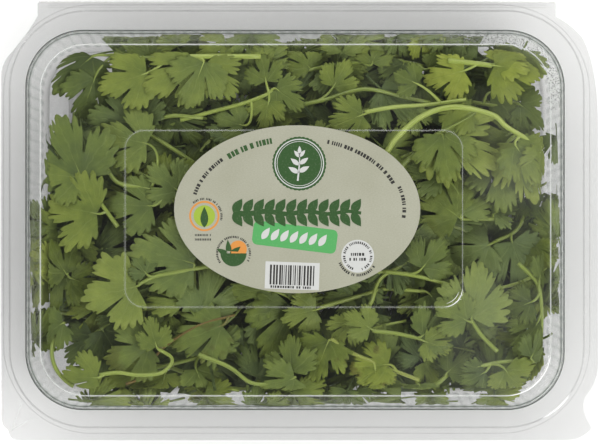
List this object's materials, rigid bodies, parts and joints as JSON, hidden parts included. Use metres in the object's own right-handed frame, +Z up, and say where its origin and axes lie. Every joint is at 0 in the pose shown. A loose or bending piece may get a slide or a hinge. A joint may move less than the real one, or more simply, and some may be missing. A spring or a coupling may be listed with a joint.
{
  "type": "boxed cut coriander",
  "caption": "Loose cut coriander sprigs packed in a low clear plastic box with a lid hinged along its back edge and an oval paper label.",
  "frame": {"origin": "under the middle of the closed box, on the surface that it stands on", "axes": "+X along the box's long side, +Y to the hinge, +Z up"},
  "size_m": [0.23, 0.1686, 0.0487],
  "materials": {
    "clear_plastic": "thin clear vacuum-formed sheet",
    "label_paper": "coated paper, satin",
    "coriander": "fresh leaf, soft sheen"
  },
  "bodies": {
    "tray": {"tray": "clear_plastic", "sprig_arch": "coriander", "sprig_back_left_bright": "coriander", "sprig_back_left_corner": "coriander", "sprig_back_left_cut": "coriander", "sprig_back_middle": "coriander", "sprig_back_right_corner": "coriander", "sprig_back_right_edge": "coriander", "sprig_back_stems_left": "coriander", "sprig_back_stems_right": "coriander", "sprig_bundle_back": "coriander", "sprig_bundle_cross": "coriander", "sprig_bundle_front": "coriander", "sprig_front_bottom": "coriander", "sprig_front_brown": "coriander", "sprig_front_curl": "coriander", "sprig_front_left_dark": "coriander", "sprig_front_left_low": "coriander", "sprig_front_left_pale": "coriander", "sprig_front_loop": "coriander", "sprig_front_middle": "coriander", "sprig_front_pair": "coriander", "sprig_front_right": "coriander", "sprig_front_right_corner": "coriander", "sprig_front_right_dark": "coriander", "sprig_front_stem": "coriander", "sprig_left_big": "coriander", "sprig_left_hollow": "coriander", "sprig_left_middle": "coriander", "sprig_left_wall": "coriander", "sprig_right_big": "coriander", "sprig_right_folded": "coriander", "sprig_right_middle": "coriander", "sprig_right_middle_low": "coriander", "sprig_right_wall": "coriander", "sprig_under_arch": "coriander", "sprig_lower_1": "coriander", "sprig_lower_2": "coriander", "sprig_lower_3": "coriander", "sprig_lower_4": "coriander", "sprig_lower_5": "coriander", "sprig_lower_6": "coriander", "sprig_lower_7": "coriander", "sprig_lower_8": "coriander", "sprig_lower_9": "coriander", "sprig_lower_10": "coriander", "sprig_lower_11": "coriander", "sprig_lower_12": "coriander", "sprig_lower_13": "coriander", "sprig_lower_14": "coriander"},
    "lid": {"lid": "clear_plastic", "label": "label_paper"}
  },
  "joints": [
    {"name": "lid_hinge", "type": "hinge", "parent": "tray", "child": "lid", "pos_m": [0, 0.0848, 0.03615], "axis": [-1, 0, 0], "range_deg": [0, 180]}
  ]
}
